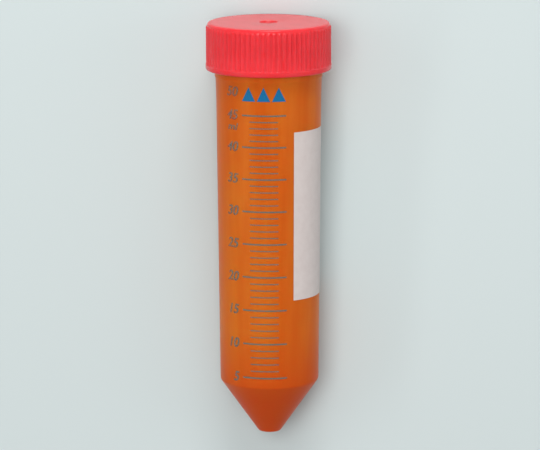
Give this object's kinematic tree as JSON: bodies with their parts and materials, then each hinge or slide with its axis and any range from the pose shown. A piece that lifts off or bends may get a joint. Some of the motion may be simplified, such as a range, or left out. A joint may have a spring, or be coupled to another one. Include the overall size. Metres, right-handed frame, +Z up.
{
  "type": "50 ml conical tube",
  "caption": "Conical-bottom centrifuge tube with a ribbed screw cap, a printed scale and a white writing panel, lying on its side.",
  "frame": {"origin": "centre of the bounding box's footprint, on the surface the tube lies on", "axes": "+Y towards the cap, +Z up from the surface, +X to the right seen from above; the tube's own axis lies in the YZ plane, 2.36 degrees up towards the cap"},
  "size_m": [0.0346, 0.116, 0.035],
  "materials": {
    "tube": "satin, translucent amber polypropylene",
    "cap": "satin, coral-red polypropylene",
    "writing_panel": "matt white ink, takes pen",
    "graduation_print": "matt blue screen-print ink"
  },
  "bodies": {
    "tube": {"tube": "tube", "writing_panel": "writing_panel", "graduation_print": "graduation_print"},
    "cap": {"cap": "cap"}
  },
  "joints": [
    {"name": "cap_lift", "type": "slide", "parent": "tube", "child": "cap", "axis": [0, 0.9991, 0.0413], "range_m": [0, 0.03]}
  ]
}
